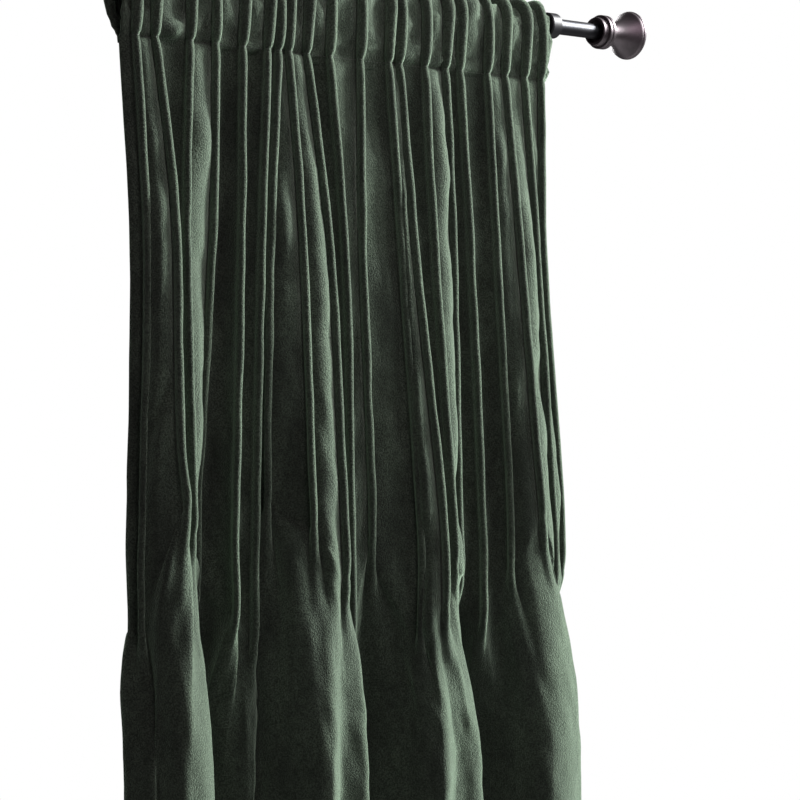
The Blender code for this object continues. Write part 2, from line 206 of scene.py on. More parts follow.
# The opening tucks. A tuck has opened OPENING_SHARE of the way to the full folds, and OPENING_CURVE
# says how evenly. RELAXED_TUCK: share of its height that is left RELAX_SHARE of the way down.
# FEET_CURVE: how late the tucks' places move to the folds' places.
OPENING_CURVE = 0.7
OPENING_SHARE = 0.3
RELAXED_TUCK = 0.35
RELAX_SHARE = 0.16
FEET_CURVE = 1.2

# The cloth's relief: heights, and wave lengths across and down. It grows from nothing over
# POCKET_EDGE in the pocket and over SEAM_EDGE below it. LEAF_SHARE: how much of it shows on a sewn
# tuck, and PLAIN_EDGE the width over which it grows beside one. The tuck's share is full again
# LOOSENED of the way down its opening rows, and CREASE_FADE of the creases has gone there.
# SEAM_GROOVE, SEAM_WIDTH: depth and half width of the groove along the pocket's seam.
POCKET_CREASE = 2.4 * MM
POCKET_WAVES = (34 * MM, 24 * MM)
POCKET_EDGE = 12 * MM
CLOTH_CREASE = 1.1 * MM
CREASE_WAVES = (60 * MM, 120 * MM)
CREASE_FADE = 0.7
CLOTH_RIPPLE = 0.5 * MM
RIPPLE_WAVES = (26 * MM, 48 * MM)
SEAM_EDGE = 20 * MM
LEAF_SHARE = 0.15
PLAIN_EDGE = 10 * MM
LOOSENED = 0.5
SEAM_GROOVE = 0.9 * MM
SEAM_WIDTH = 3 * MM

# The tucks from left to right, in millimetres. place: where the tuck stands along the rod, from the
# right-hand bracket. end_x, end_y: its tip where the sewing stops, end_y from the rod's axis to the
# wall. drop: length of the sewing below the pocket seam. bow: which way the plain cloth on its
# right bends, from 1 to the room to -1 to the wall, and more than 1 stands out past the usual
# limit. sway_high, sway_low: how far it strays to the right of a straight line, a third of the way
# down and near its end. END_SWAY: share of sway_low that is left at the end.
Tuck = namedtuple("Tuck", "place end_x end_y drop bow sway_high sway_low")
TUCKS = (
    Tuck(-554, -547, -26, 535, 1.8, 9, 0),
    Tuck(-532, -519, -53, 425, -1, 8, -4),
    Tuck(-492, -493, -25, 450, 1, -6, -3),
    Tuck(-462, -466, 0, 500, -1, 3, -5),
    Tuck(-430, -437, -24, 525, -1, -1, -5),
    Tuck(-400, -410, -14, 557, -1, -3, -3),
    Tuck(-387, -392, -16, 425, 1, -5, -4),
    Tuck(-374, -360, -43, 444, 1.6, 4, 1),
    Tuck(-352, -330, -50, 496, -1, 11, 5),
    Tuck(-323, -310, -34, 560, 0.15, 11, 5),
    Tuck(-284, -277, -32, 470, -1, -4, 0),
    Tuck(-247, -241, -58, 550, 2.4, 4, 10),
    Tuck(-233, -224, -74, 525, -1, 1, 9),
    Tuck(-199, -197, -60, 488, 1.3, -2, 0),
    Tuck(-171, -173, -44, 500, -1, 3, -1),
    Tuck(-151, -144, -46, 545, -1, 4, 5),
    Tuck(-113, -112, -54, 495, 1, 1, 4),
    Tuck(-88, -84, -71, 444, 1, 0, -1),
    Tuck(-60, -57, -57, 520, 1, 3, 5),
    Tuck(-36, -31, -42, 500, 1, -8, 2),
)
SWAY_PLACES = (0.0, 0.37, 0.85, 1.0)
END_SWAY = 0.4

# The turns of the large loose folds from left to right, in millimetres. at: place across the cloth,
# counted in tucks. low_x, low_y: the turn at FOLD_LEVEL. hem_x, hem_y: the same turn at the hem.
Fold = namedtuple("Fold", "at low_x low_y hem_x hem_y")
FOLDS = (
    Fold(-0.5, -566, -14, -578, -10),
    Fold(0.0, -556, -38, -568, -38),
    Fold(0.5, -546, -36, -558, -44),
    Fold(1.1, -534, -60, -540, -64),
    Fold(1.9, -493, -50, -500, -56),
    Fold(3.3, -462, 44, -466, 58),
    Fold(4.2, -440, 4, -436, 30),
    Fold(5.0, -418, -14, -424, -4),
    Fold(5.5, -408, 0, -416, -14),
    Fold(6.1, -397, -24, -404, -38),
    Fold(7.0, -362, -62, -370, -66),
    Fold(7.6, -339, -48, -344, -62),
    Fold(8.2, -310, -54, -316, -50),
    Fold(9.4, -279, 26, -286, 56),
    Fold(10.1, -253, -15, -256, 24),
    Fold(11.2, -220, -64, -228, -60),
    Fold(11.8, -191, -50, -200, -66),
    Fold(12.6, -157, -52, -164, -50),
    Fold(14.1, -132, 32, -134, 56),
    Fold(15.0, -112, -5, -108, 20),
    Fold(16.1, -79, -66, -82, -62),
    Fold(17.2, -20, -54, -24, -58),
    Fold(18.3, -4, -4, 0, 10),
    Fold(19.5, -12, 34, 8, 50),
)

# The rod pocket from the seam up the front, over the rod and down the back to the seam. y, z: the
# cloth's middle line in millimetres from the rod's axis, y towards the wall. facing: the way its
# face looks, in degrees from the room (0) over the top (90) to the wall (180). depth: how much of a
# tuck's depth stands up. opened: how far its two layers have parted. puff: how much of the spare
# cloth between two tucks bulges out.
Ring = namedtuple("Ring", "y z facing depth opened puff")
POCKET = (
    Ring(-8.5, -59, 0, 0.86, 0.05, 0.15),
    Ring(-10, -50, 0, 1.0, 0.3, 0.25),
    Ring(-11.8, -34, 0, 1.0, 0.44, 0.3),
    Ring(-12.6, -6, 8, 1.0, 0.48, 0.3),
    Ring(-8.9, 8.9, 45, 1.0, 0.48, 0.35),
    Ring(0, 12.6, 90, 1.0, 0.48, 0.4),
    Ring(8.9, 8.9, 135, 1.0, 0.5, 0.6),
    Ring(13, -6, 172, 1.0, 0.45, 0.6),
    Ring(10.5, -34, 180, 1.0, 0.35, 0.6),
    Ring(2.5, -50, 180, 0.8, 0.2, 0.45),
    Ring(-4.5, -59, 180, 0.5, 0.0, 0.2),
)

# Columns across the cloth: on a tuck, in cloth from its tip, and on the plain cloth and the two
# side hems, as shares of their width. FINE_ROWS: more rows beside a seam, in steps of the other
# rows. LOOSE_SPACING: more than 1 sets the opening rows closer at their start. HEM_STEPS: shares of
# the bottom hem's depth.
TUCK_STEPS = np.array([-12, -8.4, -4.9, -2.9, -1.4, 0, 1.4, 2.9, 4.9, 8.4, 12]) * MM
PLAIN_STEPS = np.array([0.06, 0.22, 0.41, 0.59, 0.78, 0.94])
EDGE_STEPS = np.array([0.35, 0.7, 1.0])
FINE_ROWS = (0.25, 0.55)
POCKET_ROWS = 22
SEWN_ROWS = 54
LOOSE_ROWS = 32
LOOSE_SPACING = 1.25
FOLD_ROWS = 16
HEM_STEPS = (0.0, 0.05, 0.5, 1.0)

# Stitches. STITCH_RISE: how far from a tuck's foot up to the next column its sewing lies.
# POCKET_SEAM_ROW: the net's row along the front seam, after the tail's row and the pocket's.
STITCH_LENGTH = 2.8 * MM
STITCH_PITCH = 3.6 * MM
THREAD_RADIUS = 0.36 * MM
STITCH_SIDES = 5
STITCH_RINGS = 3
STITCH_RISE = 0.3
POCKET_SEAM_ROW = POCKET_ROWS + 2 * len(FINE_ROWS) + 2

# Finishes: the velvet's colours where its pile lies down and where it stands, its sheen, and the
# greys that darken its crushed patches and the gaps in its grain; then the others' two colours
WHITE = (1.0, 1.0, 1.0)
VELVET_DARK = (0.034, 0.042, 0.0325)
VELVET_LIGHT = (0.075, 0.102, 0.0715)
VELVET_SHEEN = (0.58, 0.8, 0.58)
CRUSHED_GREY = (0.5, 0.5, 0.5)
GRAIN_GREY = (0.25, 0.25, 0.25)
THREAD_DARK = (0.03, 0.042, 0.03)
THREAD_LIGHT = (0.075, 0.1, 0.072)
STEEL_DARK = (0.035, 0.036, 0.04)
STEEL_LIGHT = (0.052, 0.053, 0.058)
BRONZE_DARK = (0.1, 0.086, 0.094)
BRONZE_LIGHT = (0.16, 0.14, 0.15)
BLACK_DARK = (0.009, 0.009, 0.011)
BLACK_LIGHT = (0.018, 0.018, 0.022)
SATIN_SMOOTH = 0.42
SATIN_ROUGH = 0.52

# Studio: lamps from the window and the room, one on the rod pocket and one behind the curtain, with
# their power in watts. AMBIENT: strength of the world's light, which the camera sees as white.
AMBIENT = 0.025
WARM = (1.0, 0.8, 0.92)
Lamp = namedtuple("Lamp", "name place target width height power colour")
LAMPS = (
    Lamp("window_light", (2.34, -1.32, 1.5), (-0.28, -0.08, 0.2), 0.9, 1.5, 435, WHITE),
    Lamp("room_light", (-0.7, -1.4, 0.9), (-0.3, -0.1, 0.0), 0.8, 0.8, 9, WARM),
    Lamp("pocket_light", (0.45, -1.05, 0.55), (-0.25, -0.1, 0.02), 0.5, 0.5, 8, WHITE),
    Lamp("room_fill", (-2.2, -2.6, 1.2), (-0.3, -0.1, 0.0), 2.0, 2.0, 4, WARM),
    Lamp("back_light", (0.9, 2.6, 0.6), (-0.28, -0.08, -0.6), 2.0, 2.0, 110, WHITE),
)
FLOOR_MIDDLE = (-0.3, -0.1)
FLOOR_DROP = 2135 * MM
FLOOR_RADIUS = 2.6
FLOOR_SIDES = 96
FLOOR_DARK = (0.4, 0.4, 0.4)
FLOOR_LIGHT = (0.44, 0.44, 0.44)

# Camera, in the photograph's place: level, to the left of the curtain
CAMERA_TURN = math.radians(42.7)
CAMERA_DISTANCE = 2.744
CAMERA_DROP = 0.386
CAMERA_LENS = 126
CAMERA_AIM_X = -0.219 + PANEL_SHIFT


def mixed(first, last, share):
    """Return the value that lies a share of the way from first to last."""
    return first + (last - first) * share


def eased(share):
    """Return a share from 0 to 1 that starts and ends softly."""
    share = np.clip(share, 0.0, 1.0)
    return share * share * (3 - 2 * share)


def through(places, values, at):
    """Return a smooth curve's values at places at, through values given at rising places."""
    places = np.asarray(places, float)
    values = np.asarray(values, float)
    at = np.clip(np.asarray(at, float), places[0], places[-1])
    last = len(places) - 1
    low = np.clip(np.searchsorted(places, at, side="right") - 1, 0, last - 1)
    order = np.arange(last + 1)
    before = np.maximum(order - 1, 0)
    after = np.minimum(order + 1, last)
    slopes = (values[after] - values[before]) / (places[after] - places[before])
    span = places[low + 1] - places[low]
    t = (at - places[low]) / span
    start = (1 + 2 * t) * (1 - t) ** 2 * values[low] + t * (1 - t) ** 2 * span * slopes[low]
    end = t * t * (3 - 2 * t) * values[low + 1] + t * t * (t - 1) * span * slopes[low + 1]
    return start + end


def creases(across, down, pitch_across, pitch_down, seed, waves=9):
    """Return a smooth uneven relief from about -1 to 1 over the cloth, with those wave lengths."""
    rng = np.random.default_rng(SEED + seed)
    relief = np.zeros(np.broadcast(across, down).shape)
    for _ in range(waves):
        turn, phase, bend = rng.uniform(0, 2 * math.pi, 3)
        size = rng.uniform(*WAVE_SIZES)
        along = np.cos(turn) * across / pitch_across + np.sin(turn) * down / pitch_down
        sway = WAVE_SWAY * np.sin(down / pitch_down * SWAY_RATE + bend)
        relief += np.sin(2 * math.pi * (along * size + sway) + phase)
    return relief / math.sqrt(waves)


def unit(vectors):
    """Return vectors at length one."""
    return vectors / np.maximum(np.linalg.norm(vectors, axis=-1, keepdims=True), TINY)


def to_room(runs):
    """Return the directions square to the cloth's runs, to the room's side."""
    return np.stack([runs[..., 1], -runs[..., 0]], axis=-1)


def column_places():
    """Return the columns' places across the cloth, counted in tucks."""
    half = TUCK_DEPTH / TUCK_PITCH
    last = len(TUCKS) - 1
    places = [mixed(-half, -SIDE_MARGIN, EDGE_STEPS[::-1])]
    for number in range(len(TUCKS)):
        places.append(number + TUCK_STEPS / TUCK_PITCH)
        if number < last:
            places.append(mixed(number + half, number + 1 - half, PLAIN_STEPS))
    places.append(mixed(last + half, last + SIDE_MARGIN, EDGE_STEPS))
    return np.concatenate(places)


def spread(values):
    """Return a value for each column from one for each tuck."""
    last = len(TUCKS) - 1
    listed = [np.full(len(EDGE_STEPS), values[0])]
    for number in range(len(TUCKS)):
        listed.append(np.full(len(TUCK_STEPS), values[number]))
        if number < last:
            listed.append(mixed(values[number], values[number + 1], PLAIN_STEPS))
    listed.append(np.full(len(EDGE_STEPS), values[last]))
    return np.concatenate(listed)


def tuck_outline(opened, depth, nose=NOSE_RADIUS):
    """Return how far the steps of a tuck lie to the side and out, from its foot's middle.

    Closed, it is two layers with a rounded nose of a given radius. Opened, it is a low wide arch.
    """
    cloth = np.abs(TUCK_STEPS)
    nose_cloth = nose * math.pi / 2
    turn = np.minimum(cloth / nose_cloth, 1.0) * math.pi / 2
    layer = np.clip((cloth - nose_cloth) / (TUCK_DEPTH - nose_cloth), 0.0, 1.0)
    closed_side = nose * np.sin(turn) + (FOOT_HALF - nose) * layer
    closed_rise = (TUCK_DEPTH - nose_cloth) * (1 - layer) + nose * np.cos(turn)
    share = cloth / TUCK_DEPTH
    flattened = math.sqrt(max(1 - opened**2, 0.0))
    open_rise = TUCK_DEPTH * flattened * (1 + np.cos(math.pi * share)) / 2
    side = mixed(closed_side, OPENED_HALF * share, opened)
    rise = mixed(closed_rise, open_rise, min(1.0, RISE_LEAD * opened))
    return np.sign(TUCK_STEPS) * side, rise * depth


def bow_heights(chords, shares):
    """Return how far the plain cloth between the tucks bends, to the room or below 0 to the wall.

    The height is a flat parabola's that is as long as the cloth. Close tucks would pinch a deep
    bend, so it stays shallow between them. shares: 1 is a full bend to the room and -1 a full one
    to the wall. More than 1 raises the limit of a bend to the room by as much.
    """
    spare = np.maximum(PLAIN_CLOTH - chords, 0.0)
    free = np.sqrt(3 / 8 * chords * spare)
    limit = np.where(shares > 0, ROOM_LIMIT * chords, np.minimum(WALL_LIMIT * PLAIN_CLOTH, chords))
    return np.clip(shares, -1, 1) * np.minimum(free, limit * np.maximum(np.abs(shares), 1.0))


def level_row(points, runs, outline, lean, bends, edge_curl):
    """Return a row of the cloth on the level.

    points, runs: the tucks' feet and the cloth's directions there. outline: from tuck_outline.
    lean: each tuck's slant to the right. bends: share of the full bend of the cloth right of each
    tuck. edge_curl: how far the side edges turn towards the wall.
    """
    side, rise = outline
    foot = side[-1]
    outs = to_room(runs)
    starts = points[:-1] + runs[:-1] * foot
    ends = points[1:] - runs[1:] * foot
    heights = bow_heights(np.linalg.norm(ends - starts, axis=1), bends[:-1])
    plain_outs = to_room(unit(ends - starts))
    arch = 4 * PLAIN_STEPS * (1 - PLAIN_STEPS)
    margin = foot + EDGE_MARGIN * EDGE_STEPS[:, None]
    curl = edge_curl * EDGE_STEPS[:, None] ** 2
    row = [(points[0] - runs[0] * margin - outs[0] * curl)[::-1]]
    for i in range(len(points)):
        across = side + lean[i] * rise
        row.append(points[i] + runs[i] * across[:, None] + outs[i] * rise[:, None])
        if i < len(starts):
            plain = mixed(starts[i], ends[i], PLAIN_STEPS[:, None])
            row.append(plain + plain_outs[i] * (heights[i] * arch)[:, None])
    row.append(points[-1] + runs[-1] * margin - outs[-1] * curl)
    return np.concatenate(row)


def fold_points(at, level):
    """Return the loose folds' points at places across the cloth, from level 0 to 1 at the hem."""
    places = [fold.at for fold in FOLDS]
    x = through(places, [mixed(fold.low_x, fold.hem_x, level) for fold in FOLDS], at)
    y = through(places, [mixed(fold.low_y, fold.hem_y, level) for fold in FOLDS], at)
    return np.stack([x, y], axis=-1) * MM


def headings(points, turned):
    """Return the directions in which the cloth runs at the tucks, turned partly off the rod's."""
    order = np.arange(len(points))
    after = np.minimum(order + 1, len(points) - 1)
    run = unit(points[after] - points[np.maximum(order - 1, 0)])
    return unit(mixed(np.array([1.0, 0.0]), run, turned))


def tuck_feet(share):
    """Return the points where the tucks rise, at a share of the way from the seam to their ends."""
    feet = []
    for tuck in TUCKS:
        sways = (0.0, tuck.sway_high, tuck.sway_low, END_SWAY * tuck.sway_low)
        sway = through(SWAY_PLACES, sways, share)
        x = mixed(tuck.place, tuck.end_x, share) + sway
        y_end = tuck.end_y * MM + TUCK_DEPTH
        feet.append((x * MM, mixed(-SEAM_DEPTH, y_end, share)))
    return np.array(feet)


def tuck_swing(down, pitch, seed):
    """Return an uneven swing from about -1 to 1 for each tuck, away from the front seam."""
    number = np.arange(len(TUCKS))
    return creases(number * TUCK_STRIDE, down, 1.0, pitch, seed)


def bend_ways():
    """Return which way the plain cloth right of each tuck bends."""
    return np.array([tuck.bow for tuck in TUCKS], float)


def pocket_rows():
    """Return the rows of the rod pocket from the back seam over the rod to the front seam."""
    order = np.arange(len(POCKET))
    feet = tuck_feet(0.0)
    feet[:, 1] = 0.0
    runs = headings(feet, 0.0)
    rows = []
    last = len(POCKET) - 1
    fine = np.array(FINE_ROWS)
    steps = np.linspace(last - 1, 1, POCKET_ROWS)
    places = np.concatenate([[last], last - fine, steps, fine[::-1], [0]])
    for place in places:
        ring = Ring(*(float(through(order, [r[i] for r in POCKET], place)) for i in range(6)))
        facing = math.radians(ring.facing)
        up = place * RING_STEP * MM
        free = math.sin(math.pi * place / last)
        lean = POCKET_LEAN * tuck_swing(up, POCKET_LEAN_WAVE, seed=1) * free
        bends = ring.puff + POCKET_UNEVEN * tuck_swing(up, POCKET_BEND_WAVE, seed=2)
        bends = np.maximum(bends, POCKET_HOLLOW)
        opened = max(ring.opened, 0.0)
        nose = mixed(NOSE_RADIUS, POCKET_NOSE, opened / POCKET_OPENED)
        outline = tuck_outline(opened * POCKET_PARTING, ring.depth, nose)
        flat = level_row(feet, runs, outline, lean, bends, 0.0)
        height = -flat[:, 1]
        y = ring.y * MM - math.cos(facing) * height
        z = ring.z * MM + math.sin(facing) * height
        rows.append(np.stack([flat[:, 0], y, z], axis=-1))
    return rows


def sewn_rows():
    """Return the rows down the sewn tucks, from below the pocket seam to the tucks' ends."""
    drops = spread([tuck.drop * MM for tuck in TUCKS])
    rows = []
    fine = np.array(FINE_ROWS) / SEWN_ROWS
    for share in np.concatenate([fine, np.linspace(0, 1, SEWN_ROWS + 1)[1:]]):
        feet = tuck_feet(share)
        runs = headings(feet, TURN_AT_END * share)
        down = share * SEWN_LENGTH * MM
        risen = mixed(SEAM_TUCK, 1.0, eased(down / SEAM_PINCH))
        pinched = 1 - END_PINCH * eased((share - END_START) / END_LENGTH)
        bend = min(1.0, SEAM_BOW + BOW_GROWTH * share)
        bends = bend_ways() * bend * (1 + BEND_UNEVEN * tuck_swing(down, BEND_WAVE, seed=3))
        lean = TUCK_LEAN * tuck_swing(down, LEAN_WAVE, seed=4) * eased(down / SEAM_PINCH)
        outline = tuck_outline(0.0, risen * pinched)
        flat = level_row(feet, runs, outline, lean, bends, EDGE_CURL)
        rows.append(np.column_stack([flat, -SEAM_DROP - share * drops]))
    return rows


def loose_rows():
    """Return the rows of the opening tucks, from their ends to the full folds."""
    drops = spread([tuck.drop * MM for tuck in TUCKS])
    ends = tuck_feet(1.0)
    end_runs = headings(ends, TURN_AT_END)
    numbers = np.arange(len(TUCKS))
    fold_feet = fold_points(numbers, 0.0)
    ahead = fold_points(numbers + FOLD_REACH, 0.0)
    fold_runs = unit(ahead - fold_points(numbers - FOLD_REACH, 0.0))
    full = fold_points(column_places(), 0.0)
    rows = []
    for share in np.linspace(0, 1, LOOSE_ROWS + 1)[1:] ** LOOSE_SPACING:
        feet = mixed(ends, fold_feet, share**FEET_CURVE)
        runs = unit(mixed(end_runs, fold_runs, share))
        opened = min(1.0, share / OPENING_SHARE) ** OPENING_CURVE
        height = mixed(1 - END_PINCH, RELAXED_TUCK, eased(share / RELAX_SHARE))
        outline = tuck_outline(opened, height)
        bends = bend_ways() * (1 - share)
        lean = np.zeros(len(TUCKS))
        flat = level_row(feet, runs, outline, lean, bends, EDGE_CURL * (1 - share))
        flat = mixed(flat, full, eased(share))
        z = mixed(-SEAM_DROP - drops, -FOLD_LEVEL, share)
        rows.append(np.column_stack([flat, z]))
    return rows


def fold_rows():
    """Return the rows of the full folds down to the hem."""
    at = column_places()
    rows = []
    hem = 1 - HEM_DEPTH / (PANEL_DROP - FOLD_LEVEL)
    steps = mixed(hem, 1.0, np.array(HEM_STEPS))
    for share in np.concatenate([np.linspace(0, hem, FOLD_ROWS + 1)[1:-1], steps]):
        z = np.full(len(at), -mixed(FOLD_LEVEL, PANEL_DROP, share))
        rows.append(np.column_stack([fold_points(at, share), z]))
    return rows


def grid_normals(points):
    """Return the directions out of the cloth at every point of its net of rows and columns."""
    down = np.gradient(points, axis=0)
    along = np.gradient(points, axis=1)
    return unit(np.cross(down, along))


def cloth_net():
    """Return the net of the cloth's points, by rows and columns, and its places across and down."""
    pocket = pocket_rows()
    tail = pocket[0] + np.array([0.0, 0.0, -HEADING_TAIL])
    rows = [tail] + pocket + sewn_rows() + loose_rows() + fold_rows()
    points = np.array(rows)
    step = np.linalg.norm(np.diff(points, axis=0), axis=2).mean(axis=1)
    down = np.concatenate([[0.0], np.cumsum(step)])[:, None]
    across = (column_places() * TUCK_PITCH)[None, :]
    seam = down[len(pocket)]
    in_pocket = eased(np.minimum(down / POCKET_EDGE, (seam - down) / POCKET_EDGE))
    below = eased((down - seam) / SEAM_EDGE)
    from_tip = np.abs(column_places() - np.round(column_places()))[None, :] * TUCK_PITCH
    on_leaf = 1 - eased((from_tip - TUCK_DEPTH) / PLAIN_EDGE)
    on_plain = 1 - on_leaf
    sewn = len(pocket) + SEWN_ROWS + len(FINE_ROWS)
    loose = eased((np.arange(len(rows))[:, None] - sewn) / (LOOSENED * LOOSE_ROWS))
    below = below * (1 - (1 - LEAF_SHARE) * on_leaf * (1 - loose))
    faded = 1 - CREASE_FADE * loose
    relief = in_pocket * on_plain * POCKET_CREASE * creases(across, down, *POCKET_WAVES, seed=5)
    relief += below * faded * CLOTH_CREASE * creases(across, down, *CREASE_WAVES, seed=6)
    relief += below * CLOTH_RIPPLE * creases(across, down, *RIPPLE_WAVES, seed=7)
    relief -= SEAM_GROOVE * np.exp(-(((down - seam) / SEAM_WIDTH) ** 2))
    points += grid_normals(points) * relief[:, :, None]
    near = np.maximum(np.hypot(points[:, :, 1], points[:, :, 2]), MM)
    points[:, :, 1:] *= np.maximum(POCKET_BORE / near, 1.0)[:, :, None]
    points += np.array([PANEL_SHIFT, -ROD_REACH, 0.0])
    return points, across, down


def net_mesh(name, points, across, down):
    """Return a mesh over a net of rows and columns, with its cloth lengths as its UV map."""
    rows, columns = points.shape[:2]
    order = np.arange(rows * columns).reshape(rows, columns)
    corners = [order[:-1, :-1], order[1:, :-1], order[1:, 1:], order[:-1, 1:]]
    faces = np.stack(corners, axis=-1).reshape(-1, 4)
    mesh = bpy.data.meshes.new(name)
    mesh.from_pydata(points.reshape(-1, 3).tolist(), [], faces.tolist())
    uv = np.stack(np.broadcast_arrays(across, down), axis=-1).reshape(-1, 2)
    layer = mesh.uv_layers.new(name="cloth")
    layer.data.foreach_set("uv", uv[faces.reshape(-1)].ravel())
    return mesh


def add_piece(name, mesh, finish):
    """Add a finished piece that rides on the curtain's one body."""
    piece = bpy.data.objects.new(name, mesh)
    bpy.context.scene.collection.objects.link(piece)
    mesh.materials.clear()
    mesh.materials.append(finish)
    mesh.shade_smooth()
    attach(piece, "root")
    return piece


def curtain(points, across, down, velvet):
    """Make the cloth, thicker where its hems and heading are folded over."""
    mesh = net_mesh("velvet_curtain", points, across, down)
    cloth = add_piece("velvet_curtain", mesh, velvet)
    rows, columns = points.shape[:2]
    number = np.arange(rows)[:, None]
    folded = (number > rows - len(HEM_STEPS)) | (number < 1)
    order = np.arange(columns)[None, :]
    folded = folded | (order < len(EDGE_STEPS)) | (order >= columns - len(EDGE_STEPS))
    thick = cloth.vertex_groups.new(name="folded_over")
    thick.add(np.flatnonzero(folded.reshape(-1)).tolist(), 1.0, "REPLACE")
    wall = cloth.modifiers.new("thickness", "SOLIDIFY")
    wall.thickness = HEM_THICKNESS
    wall.offset = 0.0
    wall.vertex_group = thick.name
    wall.thickness_vertex_group = CLOTH_THICKNESS / HEM_THICKNESS
    wall.use_rim = True
    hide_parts("curtain_panel")


def rounded(outline, radius, steps=3):
    """Return an outline given in millimetres, in metres and with its corners rounded."""
    points = [np.array(turn, float) for turn in outline]
    smooth = [points[0]]
    for before, corner, after in zip(points, points[1:], points[2:]):
        back = before - corner
        ahead = after - corner
        shorter = min(np.linalg.norm(back), np.linalg.norm(ahead))
        cut = min(radius, CORNER_SHARE * shorter)
        first = corner + unit(back) * cut
        last = corner + unit(ahead) * cut
        for step in range(steps + 1):
            t = step / steps
            smooth.append(first * (1 - t) ** 2 + 2 * corner * t * (1 - t) + last * t * t)
    smooth.append(points[-1])
    return [point * MM for point in smooth]


def turned_mesh(name, outline, along, centre, loop=False):
    """Return a closed shape turned about an axis through a centre.

    outline: radii and distances along the axis, in metres. along: the axis' direction. loop:
    whether the outline's end joins its start, as on a ring.
    """
    along = Vector(along)
    side = along.orthogonal().normalized()
    other = along.cross(side)
    turns = [2 * math.pi * i / TURNED_SIDES for i in range(TURNED_SIDES)]
    mesh = bpy.data.meshes.new(name)
    shape = bmesh.new()
    rings = []
    for radius, distance in outline:
        middle = Vector(centre) + along * distance
        if radius < TINY:
            rings.append([shape.verts.new(middle)])
        else:
            spokes = [side * math.cos(turn) + other * math.sin(turn) for turn in turns]
            rings.append([shape.verts.new(middle + spoke * radius) for spoke in spokes])
    pairs = list(zip(rings, rings[1:]))
    if loop:
        pairs.append((rings[-1], rings[0]))
    for first, second in pairs:
        for i in range(TURNED_SIDES):
            following = (i + 1) % TURNED_SIDES
            corners = [first[i % len(first)], first[following % len(first)]]
            corners += [second[following % len(second)], second[i % len(second)]]
            shape.faces.new(list(dict.fromkeys(corners)))
    bmesh.ops.recalc_face_normals(shape, faces=shape.faces)
    shape.to_mesh(mesh)
    shape.free()
    return mesh


def rod(metal):
    """Make the rod, which ends inside the two finials."""
    end = (ROD_SPAN / 2 + FINIAL_START + FINIAL_SOCKET - FIT_GAP) / MM
    radius = ROD_RADIUS / MM
    outline = rounded([(0, -end), (radius, -end), (radius, end), (0, end)], BLUNT_CORNER)
    mesh = turned_mesh("steel_rod", outline, (1, 0, 0), (-ROD_SPAN / 2, -ROD_REACH, 0))
    piece = add_piece("steel_rod", mesh, metal)
    piece.data.set_sharp_from_angle(angle=ROD_SHARP)
    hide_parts("curtain_rod")


def finial_outline():
    """Return the finial's outline from its end cap's middle to the bottom of its socket."""
    flare = []
    for step in range(FLARE_STEPS + 1):
        share = 1 - step / FLARE_STEPS
        radius = mixed(FLARE_NECK.radius, FLARE_TOP.radius, share**FLARE_CURVE)
        flare.append(Turn(radius, mixed(FLARE_NECK.along, FLARE_TOP.along, share)))
    bore = (ROD_RADIUS + FIT_GAP) / MM
    depth = FINIAL_SOCKET / MM
    socket = [Turn(bore, CUP[-1].along), Turn(bore, depth), Turn(0, depth)]
    return rounded([*FINIAL_CAP, *flare, *COLLAR, *CUP, *socket], FINIAL_CORNER)


def finials(metal):
    """Make the two trumpet finials."""
    outline = finial_outline()
    for side, x, way in (("right", FINIAL_START, 1), ("left", -ROD_SPAN - FINIAL_START, -1)):
        name = "trumpet_finial_" + side
        mesh = turned_mesh(name, outline, (way, 0, 0), (x, -ROD_REACH, 0))
        piece = add_piece(name, mesh, metal)
        piece.data.set_sharp_from_angle(angle=TURNED_SHARP)
        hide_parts("finial_" + side)


def joined(name, first, second):
    """Return the mesh of two overlapping closed shapes made one."""
    holders = [bpy.data.objects.new(name, mesh) for mesh in (first, second)]
    for holder in holders:
        bpy.context.scene.collection.objects.link(holder)
    join = holders[0].modifiers.new("join", "BOOLEAN")
    join.object = holders[1]
    join.operation = "UNION"
    join.solver = "EXACT"
    graph = bpy.context.evaluated_depsgraph_get()
    mesh = bpy.data.meshes.new_from_object(holders[0].evaluated_get(graph))
    for holder in holders:
        bpy.data.objects.remove(holder, do_unlink=True)
    return mesh


def brackets(metal):
    """Make the two bracket arms, each an eye round the rod and a post, and their wall plates."""
    half = RING_WIDTH / 2
    bore = ROD_RADIUS + FIT_GAP
    eye = [(bore, -half), (RING_RADIUS - RING_EDGE, -half), (RING_RADIUS, -half + RING_EDGE)]
    eye += [(RING_RADIUS, half - RING_EDGE), (RING_RADIUS - RING_EDGE, half), (bore, half)]
    start = ROD_REACH - RING_RADIUS + ARM_OVERLAP
    end = PLATE_THICKNESS + FIT_GAP
    post = [(0, end), (ARM_RADIUS, end), (ARM_RADIUS, start), (0, start)]
    plate = rounded(PLATE, BLUNT_CORNER)
    for side, x in (("right", 0.0), ("left", -ROD_SPAN)):
        name = "bracket_arm_" + side
        ring = turned_mesh(name + "_eye", eye, (1, 0, 0), (x, -ROD_REACH, 0), loop=True)
        arm = turned_mesh(name + "_post", post, (0, -1, 0), (x, 0, 0))
        piece = add_piece(name, joined(name, ring, arm), metal)
        piece.data.set_sharp_from_angle(angle=ARM_SHARP)
        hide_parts("rod_ring_" + side)
        name = "bracket_plate_" + side
        mesh = turned_mesh(name, plate, (0, -1, 0), (x, 0, 0))
        piece = add_piece(name, mesh, metal)
        piece.data.set_sharp_from_angle(angle=TURNED_SHARP)
        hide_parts("wall_plate_" + side)


